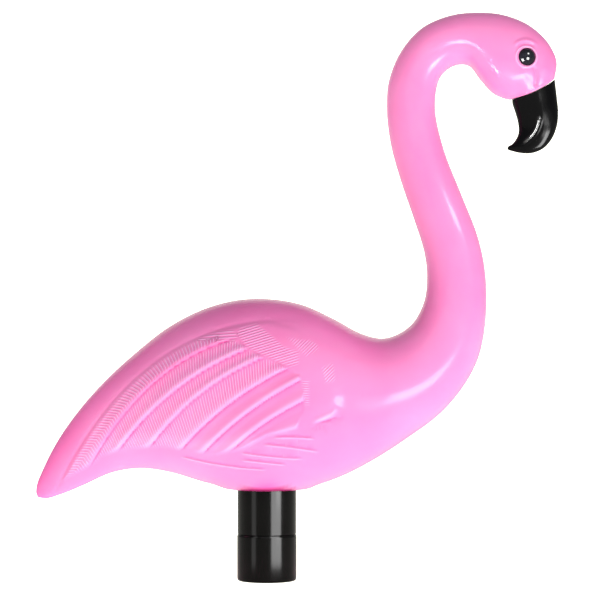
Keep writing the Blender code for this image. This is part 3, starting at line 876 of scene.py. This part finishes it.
keep(bill.data, "crest", bell(mouth - CREST_OUT, CREST_HALF_WIDTH) * mouth_strength)
bill.data.set_sharp_from_angle(angle=SHARP_ANGLE)
print("bill", [round(1000 * size, 1) for size in bill.dimensions], "mm")

# %% [markdown]
# The eyes are plain glossy beads, and the two sleeves under the belly are
# turned profiles. Each outer edge gets a small round in its profile, where a
# Bevel modifier would do as well, so that the light can draw a thin line there,
# as it does on moulded plastic.

# %% Eyes and sleeves
eyes = []
for name, side in (("bead_eye_left", 1), ("bead_eye_right", -1)):
    eyes.append(bead(name, (EYE[0], side * abs(EYE[1]), EYE[2]), EYE_RADIUS))

sleeve_low, sleeve_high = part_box("stake_sleeve")
SLEEVE_RADIUS = (sleeve_high.x - sleeve_low.x) / 2
EDGE, FINE_EDGE = 0.0006, 0.0002
FOOT_ROUND = 0.0016
TOP_CHAMFER, CHAMFER_IN, CHAMFER_ROUNDS = 0.0009, 0.0004, (0.0001, 0.0003)
BORE_RADIUS, BORE_DEPTH, BORE_CHAMFER = 0.0070, 0.0200, 0.0008


def rounded(corners, steps=6):
    """A profile through (radius, height, round) corners, each with its own arc.

    The arc is the quadratic Bezier between the points where it leaves the two
    straight runs.
    """
    profile = []
    for n, (r, h, size) in enumerate(corners):
        corner = np.array((r, h))
        if not size:
            profile.append(corner)
            continue
        before, after = np.array(corners[n - 1][:2]), np.array(corners[n + 1][:2])
        start = corner + size * (before - corner) / np.linalg.norm(before - corner)
        end = corner + size * (after - corner) / np.linalg.norm(after - corner)
        for t in np.linspace(0, 1, steps):
            profile.append((1 - t) ** 2 * start + 2 * t * (1 - t) * corner + t * t * end)
    return profile


collar = turned("upper_sleeve", rounded([
    (0, collar_high.z, 0), (COLLAR_RADIUS, collar_high.z, EDGE),
    (COLLAR_RADIUS, collar_low.z, FINE_EDGE), (0, collar_low.z, 0)]))
sleeve = turned("lower_sleeve", rounded([
    (0, sleeve_high.z, 0), (SLEEVE_RADIUS - CHAMFER_IN, sleeve_high.z, CHAMFER_ROUNDS[0]),
    (SLEEVE_RADIUS, sleeve_high.z - TOP_CHAMFER, CHAMFER_ROUNDS[1]),
    (SLEEVE_RADIUS, 0, FOOT_ROUND),
    (BORE_RADIUS + BORE_CHAMFER, 0, 0), (BORE_RADIUS, BORE_CHAMFER, 0),
    (BORE_RADIUS, BORE_DEPTH, 0), (0, BORE_DEPTH, 0)]))
for piece in (collar, sleeve):
    piece.data.shade_smooth()
    piece.data.set_sharp_from_angle(angle=SHARP_ANGLE)
print(f"sleeves {COLLAR_RADIUS * 2000:.1f} and {SLEEVE_RADIUS * 2000:.1f} mm across")

# %% [markdown]
# Moulded plastic is never perfectly even: it has a very fine grain and slow
# changes of tone and gloss. The pink and the black pieces share this effect, so
# it is a node group with its own scale, and each material mixes it in as
# strongly as its finish needs.

# %% Shared grain of the plastic
CLOUD_NOISE = {"detail": 3.0, "roughness": 0.5}
GRAIN_NOISE = {"detail": 2.0, "roughness": 0.6}
FINER = 28.0  # how much finer the grain is than the clouds


def node(tree, kind, **values):
    """Adds a node and sets the properties, or else the inputs, of these names."""
    made = tree.nodes.new(kind)
    for key, value in values.items():
        if hasattr(made, key):
            setattr(made, key, value)
        else:
            made.inputs[key.replace("_", " ").title()].default_value = value
    return made


def math_node(tree, operation, first, second=None, third=None):
    """operation(first, second, third) on values or sockets, giving a socket."""
    made = tree.nodes.new("ShaderNodeMath")
    made.operation = operation
    for n, value in enumerate((first, second, third)):
        if isinstance(value, bpy.types.NodeSocket):
            tree.links.new(value, made.inputs[n])
        elif value is not None:
            made.inputs[n].default_value = value
    return made.outputs[0]


def plastic_grain():
    """Group: Scale in; Cloud (slow unevenness) and Grain (fine) out."""
    tree = bpy.data.node_groups.new("plastic grain", "ShaderNodeTree")
    tree.interface.new_socket("Scale", in_out="INPUT", socket_type="NodeSocketFloat")
    for name in ("Cloud", "Grain"):
        tree.interface.new_socket(name, in_out="OUTPUT", socket_type="NodeSocketFloat")
    start, end = node(tree, "NodeGroupInput"), node(tree, "NodeGroupOutput")
    place = node(tree, "ShaderNodeTexCoord")
    cloud = node(tree, "ShaderNodeTexNoise", **CLOUD_NOISE)
    grain = node(tree, "ShaderNodeTexNoise", **GRAIN_NOISE)
    finer = math_node(tree, "MULTIPLY", start.outputs[0], FINER)
    for texture, size in ((cloud, start.outputs[0]), (grain, finer)):
        tree.links.new(place.outputs["Object"], texture.inputs["Vector"])
        tree.links.new(size, texture.inputs["Scale"])
    tree.links.new(cloud.outputs[0], end.inputs["Cloud"])
    tree.links.new(grain.outputs[0], end.inputs["Grain"])
    return tree


GRAIN = plastic_grain()
print("shared grain:", ", ".join(item.name for item in GRAIN.interface.items_tree))

# %% [markdown]
# The pink and the black materials are wired in the same few ways: a number kept
# on the mesh is read, two colours are mixed by a mask, a noise is taken to a
# range, or a height is added to the bumps made before. A helper for each keeps
# the materials short enough to read.

# %% Helpers for the materials
NOISE_RANGE = (0.3, 0.7)  # where nearly all of a noise's values lie
FIRST_COLOUR, SECOND_COLOUR, MIXED_COLOUR = 6, 7, 2  # sockets of the Mix node


def new_material(name, grain_scale):
    """A material with its Principled shader and the shared grain placed in it."""
    material = bpy.data.materials.new(name)
    material.use_nodes = True
    tree = material.node_tree
    shader = tree.nodes["Principled BSDF"]
    grain = tree.nodes.new("ShaderNodeGroup")
    grain.node_tree = GRAIN
    grain.inputs["Scale"].default_value = grain_scale
    return material, tree, shader, grain


def stored(tree, name):
    """A number that is kept on the mesh under this name."""
    return node(tree, "ShaderNodeAttribute", attribute_name=name).outputs["Fac"]


def mixed(tree, factor, first, second):
    """first * (1 - factor) + second * factor, of two sockets or colours."""
    made = tree.nodes.new("ShaderNodeMix")
    made.data_type = "RGBA"
    tree.links.new(factor, made.inputs["Factor"])
    for key, value in ((FIRST_COLOUR, first), (SECOND_COLOUR, second)):
        if isinstance(value, bpy.types.NodeSocket):
            tree.links.new(value, made.inputs[key])
        else:
            made.inputs[key].default_value = (*value, 1.0)
    return made.outputs[MIXED_COLOUR]


def bump(tree, shader, height, distance, strength=1.0, before=None):
    """Tilts the normals by the slope of height * distance, over the bump made before."""
    made = tree.nodes.new("ShaderNodeBump")
    made.inputs["Strength"].default_value = strength
    made.inputs["Distance"].default_value = distance
    tree.links.new(height, made.inputs["Height"])
    if before:
        tree.links.new(before, made.inputs["Normal"])
    tree.links.new(made.outputs[0], shader.inputs["Normal"])
    return made.outputs[0]


def remapped(tree, value, low, high):
    """Takes the noise's range to low..high in a straight line."""
    made = node(tree, "ShaderNodeMapRange")
    for key, number in enumerate((*NOISE_RANGE, low, high), 1):
        made.inputs[key].default_value = number
    tree.links.new(value, made.inputs[0])
    return made.outputs[0]


print("noise values from", NOISE_RANGE[0], "to", NOISE_RANGE[1], "are used")

# %% [markdown]
# The pink skin is glossy and a little translucent: light enters it, spreads and
# comes out again, which softens the shading and fills the shadows with pink.
# Subsurface scattering gives that. The colour goes from pale to deep pink by the
# masks of painted highlight and painted shade, and to a dark red painted shade
# at the collar. The barbs and the belly lines are sharpened with a bump worked
# out from the phase and distance kept on the mesh, and the barbs' crests get a
# painted highlight.

# %% Pink plastic
PINK = (0.87, 0.213, 0.52)
# The next three: painted shade, pale pink for the slow random tone and painted highlights, and the
# dark red painted shade at the collar
PAINTED_SHADE_PINK = (0.87, 0.10, 0.44)
PALE_PINK = (0.94, 0.46, 0.80)
COLLAR_CONTACT_SHADE = (0.25, 0.008, 0.09)
# How strongly the painted highlights of the pale mask and of the barbs' crests pale the pink
PAINTED_HIGHLIGHT_STRENGTH, STROKE_PAINTED_HIGHLIGHT = 0.5, 0.85
PINK_CLOUD, PINK_ROUGHNESS = (0.0, 0.2), (0.17, 0.25)
PINK_FINISH = {"Subsurface Weight": 0.3, "Subsurface Radius": (1.0, 0.45, 0.75),
               "Subsurface Scale": 0.002, "IOR": 1.42, "Coat Weight": 0.12,
               "Coat Roughness": 0.06}
BARB_BUMP, LINE_BUMP, GRAIN_BUMP = 0.00011, 0.0003, 0.00001
PINK_GRAIN_SCALE, PINK_GRAIN_STRENGTH = 22.0, 0.5


def pink_plastic():
    """Colour by painted highlight and shade masks; strokes cos(2 pi phase) * depth; lines
    exp(-(distance/width)^2).
    """
    material, tree, shader, grain = new_material("pink plastic", PINK_GRAIN_SCALE)
    wave = math_node(tree, "COSINE", math_node(tree, "MULTIPLY", stored(tree, "barb_phase"),
                                               2 * pi))
    strokes = math_node(tree, "MULTIPLY", wave, stored(tree, "barb_depth"))
    base = mixed(tree, remapped(tree, grain.outputs["Cloud"], *PINK_CLOUD), PINK, PALE_PINK)
    # Painted highlights: the pale mask, then the barbs' crests
    for mask, painted_highlight in ((stored(tree, "pale"), PAINTED_HIGHLIGHT_STRENGTH), (strokes, STROKE_PAINTED_HIGHLIGHT)):
        base = mixed(tree, math_node(tree, "MULTIPLY", mask, painted_highlight), base, PALE_PINK)
    # Painted shade, then the painted shade where the skin meets the collar
    base = mixed(tree, stored(tree, "deep"), base, PAINTED_SHADE_PINK)
    base = mixed(tree, stored(tree, "contact_shade"), base, COLLAR_CONTACT_SHADE)
    tree.links.new(base, shader.inputs["Base Color"])
    gloss = remapped(tree, grain.outputs["Cloud"], *PINK_ROUGHNESS)
    tree.links.new(gloss, shader.inputs["Roughness"])
    for key, value in PINK_FINISH.items():
        shader.inputs[key].default_value = value
    barbs = bump(tree, shader, strokes, BARB_BUMP)
    near = math_node(tree, "DIVIDE", stored(tree, "belly_line"), LINE_HALF_WIDTH / MM)
    drop = math_node(tree, "MULTIPLY", math_node(tree, "MULTIPLY", near, near), -1.0)
    ridge = math_node(tree, "MULTIPLY", math_node(tree, "EXPONENT", drop),
                      stored(tree, "line_strength"))
    lines = bump(tree, shader, ridge, LINE_BUMP, before=barbs)
    bump(tree, shader, grain.outputs["Grain"], GRAIN_BUMP, PINK_GRAIN_STRENGTH, before=lines)
    return material


PINK_PLASTIC = pink_plastic()
print(PINK_PLASTIC.name, "has", len(PINK_PLASTIC.node_tree.nodes), "nodes")

# %% [markdown]
# The bill, the beads and the sleeves are black plastic that differs a little in
# tone, gloss and grain: the beads are the smoothest, the bill and the sleeves
# spread the light more. All of them mirror less than plastic does by itself,
# which keeps the black deep under the wide lights, and a clear coat on the crest
# of the bill's mouth gives its bright mark.

# %% Black plastics
BLACK_SPECULAR = 0.11
BLACK_CLOUD, CLOUD_GAIN, CLOUD_LIFT = (0.0, 0.6), 1.6, 0.0005  # of the slow change of tone
SMOOTHEST, ROUGHEST = 0.85, 1.2  # how far the roughness strays
POLISH_ROUGHNESS, POLISH_IOR = 0.14, 2.2
BLACK_GRAIN_STRENGTH = 0.6


def black_plastic(name, colour, rough, scale, grain_height, polished=None):
    """Black with slow clouds of tone and gloss, and a clear coat where a mask says so."""
    material, tree, shader, grain = new_material(name, scale)
    lighter = tuple(CLOUD_GAIN * part + CLOUD_LIFT for part in colour)
    cloudy = remapped(tree, grain.outputs["Cloud"], *BLACK_CLOUD)
    tree.links.new(mixed(tree, cloudy, colour, lighter), shader.inputs["Base Color"])
    gloss = remapped(tree, grain.outputs["Cloud"], rough * SMOOTHEST, rough * ROUGHEST)
    tree.links.new(gloss, shader.inputs["Roughness"])
    shader.inputs["Specular IOR Level"].default_value = BLACK_SPECULAR
    if polished:
        tree.links.new(stored(tree, polished), shader.inputs["Coat Weight"])
        shader.inputs["Coat Roughness"].default_value = POLISH_ROUGHNESS
        shader.inputs["Coat IOR"].default_value = POLISH_IOR
    bump(tree, shader, grain.outputs["Grain"], grain_height, BLACK_GRAIN_STRENGTH)
    return material


BILL_BLACK = black_plastic("glossy bill black", (0.0015, 0.0015, 0.002), rough=0.15,
                           scale=40.0, grain_height=0.00001, polished="crest")
EYE_BLACK = black_plastic("polished bead black", (0.001, 0.001, 0.0015), rough=0.06,
                          scale=60.0, grain_height=0.000002)
SLEEVE_BLACK = black_plastic("satin sleeve black", (0.002, 0.002, 0.002), rough=0.17,
                             scale=50.0, grain_height=0.00001)
print("made", ", ".join(made.name for made in (BILL_BLACK, EYE_BLACK, SLEEVE_BLACK)))

# %% [markdown]
# Each finished piece gets its material and stands for its solid in the frame. All
# of them ride on the root, because nothing on the object moves.

# %% Dress the frame
finished = [
    (body, "flamingo_body", "pink_plastic", PINK_PLASTIC),
    (bill, "bill", "bill_black", BILL_BLACK),
    (eyes[0], "eye_left", "eye_black", EYE_BLACK),
    (eyes[1], "eye_right", "eye_black", EYE_BLACK),
    (collar, "socket_collar", "socket_black", SLEEVE_BLACK),
    (sleeve, "stake_sleeve", "socket_black", SLEEVE_BLACK),
]
for piece, solid, slot, material in finished:
    piece.data.materials.clear()
    piece.data.materials.append(material)
    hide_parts(solid)
    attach(piece, "root")
print(len(finished), "pieces ride on the frame")

# %% [markdown]
# The figure stands before pure white with hardly a shadow. A painted floor needs
# strong lights to look so white, and they would bleach the pink, so the stage is
# a sheet of paper that glows like a light table: a floor, a quarter circle and a
# wall. In reflections it glows less, because the black pieces would turn grey.

# %% The stage
FLOOR_HALF_WIDTH, FLOOR_FRONT, WALL_AT, WALL_HEIGHT, CURVE = 2.3, -1.9, 2.3, 2.4, 0.9
FLOOR_GLOW, GLOSSY_DIMMING = 1.55, 0.75
GLOW_COLOUR, PAPER_GREY, PAPER_ROUGHNESS = (1, 1, 0.87, 1), (0.6, 0.6, 0.6, 1), 0.9
BEND_POINTS = 24


def backdrop():
    """A floor, a quarter circle (sin a, 1 - cos a) and a wall, swept along X."""
    bend = np.linspace(0, pi / 2, BEND_POINTS)
    y = np.concatenate([[FLOOR_FRONT], WALL_AT + CURVE * np.sin(bend), [WALL_AT + CURVE]])
    z = np.concatenate([[0], CURVE * (1 - np.cos(bend)), [WALL_HEIGHT]])
    x = np.array([-FLOOR_HALF_WIDTH, FLOOR_HALF_WIDTH])
    grid = np.stack(np.broadcast_arrays(x[None, :], y[:, None], z[:, None]), axis=2)
    i = np.arange(len(y) - 1)
    faces = np.stack([2 * i, 2 * i + 1, 2 * i + 3, 2 * i + 2], axis=1).tolist()
    mesh = bpy.data.meshes.new("backdrop")
    mesh.from_pydata(grid.reshape(-1, 3), [], faces)
    mesh.shade_smooth()
    obj = bpy.data.objects.new("backdrop", mesh)
    bpy.context.scene.collection.objects.link(obj)
    material = bpy.data.materials.new("pale paper")
    material.use_nodes = True
    shader = material.node_tree.nodes["Principled BSDF"]
    shader.inputs["Base Color"].default_value = PAPER_GREY
    shader.inputs["Roughness"].default_value = PAPER_ROUGHNESS
    shader.inputs["Emission Color"].default_value = GLOW_COLOUR
    path = material.node_tree.nodes.new("ShaderNodeLightPath")
    glow = math_node(material.node_tree, "MULTIPLY_ADD", path.outputs["Is Glossy Ray"],
                     -GLOSSY_DIMMING * FLOOR_GLOW, FLOOR_GLOW)
    material.node_tree.links.new(glow, shader.inputs["Emission Strength"])
    mesh.materials.append(material)


backdrop()
print(f"paper stage {2 * FLOOR_HALF_WIDTH:.1f} m wide, wall {WALL_AT + CURVE:.1f} m behind")

# %% [markdown]
# A wide canopy in front and above shapes the skin softly and gives it a broad
# pale sheen, as an overcast sky would. A small box low on the right draws the
# narrow highlights of the neck and of the wing's front. The lights are given by
# their radiance, so that one can be made larger without growing brighter.

# %% Soft boxes
FULL_SPREAD = 180


def soft_box(name, place, aim, size, radiance, spread=FULL_SPREAD):
    """A flat area light, given by the radiance in the middle of its beam.

    A light of power P and area A has the radiance P / (pi A). A grid in front
    that keeps its light within h to each side gathers it: times tan h / (tan h - h).
    """
    light = bpy.data.lights.new(name, "AREA")
    light.shape = "RECTANGLE"
    light.size, light.size_y = size
    light.energy = radiance * pi * size[0] * size[1]
    if spread < FULL_SPREAD:
        half = radians(spread / 2)
        light.spread = 2 * half
        light.energy *= (tan(half) - half) / tan(half)
    obj = bpy.data.objects.new(name, light)
    obj.location = place
    way = Vector(place) - Vector(aim)
    obj.rotation_euler = way.to_track_quat("Z", "Y").to_euler()
    obj.visible_camera = False
    bpy.context.scene.collection.objects.link(obj)
    return obj


boxes = [
    soft_box("low right box", (0.42, -0.41, 0.062), aim=(0.08, -0.04, 0.085),
             size=(0.17, 0.12), radiance=12),
    soft_box("canopy", (0.8, -2.3, 1.6), aim=(0.03, 0, 0.12), size=(4.5, 2.6), radiance=0.97),
]
print("soft boxes:", ", ".join(f"{box.name} {box.data.energy:.2f} W" for box in boxes))

# %% [markdown]
# A small highlight is the mirror image of a light, so each one here has a small
# light of its own, placed where its image falls right. Light linking keeps it to
# the piece it is for, or a narrow beam to one spot of the head. The strips are
# left out of diffuse light too, so that they add a highlight and nothing else.

# %% Small lights
def lit_only(name, pieces):
    """A group of pieces that a light can be kept to."""
    group = bpy.data.collections.new(name)
    for piece in pieces:
        group.objects.link(piece)
    return group


SLEEVES = lit_only("sleeves", (collar, sleeve))
BILL_ALONE = lit_only("bill alone", (bill,))
BEADS = lit_only("beads", eyes)
BODY_ALONE = lit_only("body alone", (body,))
# Name, place, aim, size, radiance, spread in degrees, and the pieces it is for
STRIPS = (
    ("head strip", (0.082, -0.13, 0.262), (0.0960, -0.014, 0.280),
     (0.022, 0.075), 46, 17, None),
    ("right sleeve strip", (0.036, -0.054, 0.055), (0, 0, 0.055),
     (0.042, 0.11), 25, FULL_SPREAD, SLEEVES),
    ("left sleeve strip", (-0.046, -0.045, 0.055), (0, 0, 0.055),
     (0.018, 0.11), 3.5, FULL_SPREAD, SLEEVES),
    ("cheek strip", (0.152, -0.081, 0.214), (0.135, -0.03, 0.24),
     (0.032, 0.024), 14, FULL_SPREAD, BODY_ALONE),
    ("lower spot", (0.0936, -0.1100, 0.1995), (0.120, -0.014, 0.266),
     (0.016, 0.024), 60, 20, BODY_ALONE),
    ("bill strip", (0.272, -0.118, 0.118), (0.147, -0.01, 0.215),
     (0.07, 0.14), 34, FULL_SPREAD, BILL_ALONE),
)
# Degrees round to the right and up from the camera's side, size and radiance
BEAD_LIGHTS = ((30, 38, 0.045, 110), (20, -24, 0.08, 120), (-60, -38, 0.085, 120))
BEAD_LIGHT_AWAY = 0.15

for name, place, aim, size, radiance, spread, group in STRIPS:
    strip = soft_box(name, place, aim, size, radiance, spread)
    strip.visible_diffuse = False
    if group is not None:
        strip.light_linking.receiver_collection = group
for azimuth, height, size, radiance in BEAD_LIGHTS:
    a, h = radians(azimuth), radians(height)
    way = Vector((sin(a) * cos(h), -cos(a) * cos(h), sin(h)))
    light = soft_box("bead strip", Vector(EYE) + BEAD_LIGHT_AWAY * way, EYE, (size, size),
                     radiance)
    light.light_linking.receiver_collection = BEADS
print(len(STRIPS), "strips and", len(BEAD_LIGHTS), "small lights for the beads")

# %% [markdown]
# The world is pure white to the camera, so that the ground of the picture is
# white in every view, and a third as bright to everything else, which fills the
# shadows a little. The Standard view shows the colours as they are set.

# %% The room
ROOM_LIGHT, WHITE = 0.33, (1, 1, 1, 1)

world = bpy.data.worlds.new("studio")
world.use_nodes = True
world.node_tree.nodes["Background"].inputs["Color"].default_value = WHITE
sky = world.node_tree.nodes["Background"].inputs["Strength"]
seen = world.node_tree.nodes.new("ShaderNodeLightPath").outputs["Is Camera Ray"]
world.node_tree.links.new(
    math_node(world.node_tree, "MULTIPLY_ADD", seen, 1 - ROOM_LIGHT, ROOM_LIGHT), sky)
bpy.context.scene.world = world
bpy.context.scene.view_settings.view_transform = "Standard"
print("room light", ROOM_LIGHT, "of the white that the camera sees")
